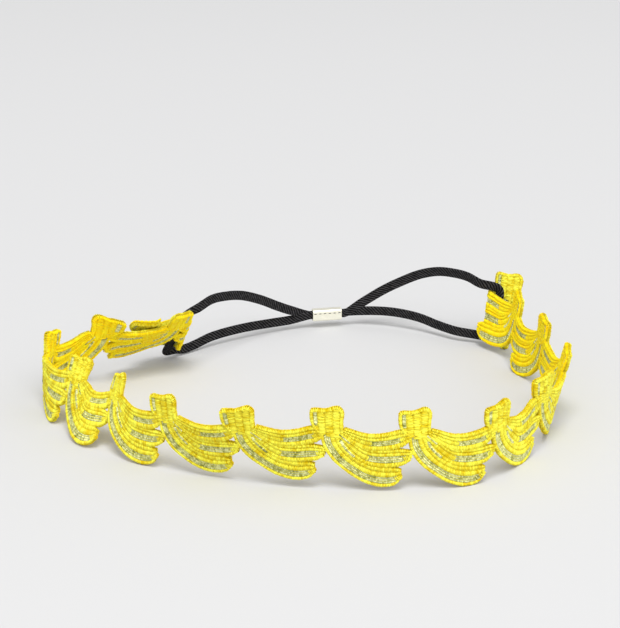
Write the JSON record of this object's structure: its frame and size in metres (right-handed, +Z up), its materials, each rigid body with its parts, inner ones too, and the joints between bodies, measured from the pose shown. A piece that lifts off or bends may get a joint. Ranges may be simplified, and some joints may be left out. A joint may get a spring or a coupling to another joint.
{
  "type": "headband",
  "caption": "Open ring of embroidered banana bunches, standing on its edge, closed at the back by a looped elastic strap with a metal crimp; worn round the head.",
  "frame": {"origin": "on the surface it stands on, under the middle of its box", "axes": "+Z up; -Y towards the lace's front, +Y towards the elastic and crimp at the back; +X to the right seen from the front"},
  "size_m": [0.1734, 0.1508, 0.0284],
  "materials": {
    "lace": "satin embroidery thread",
    "elastic": "braided matte",
    "crimp": "pale polished"
  },
  "bodies": {
    "root": {"banana_trim": "lace", "elastic": "elastic", "crimp": "crimp"}
  },
  "joints": []
}
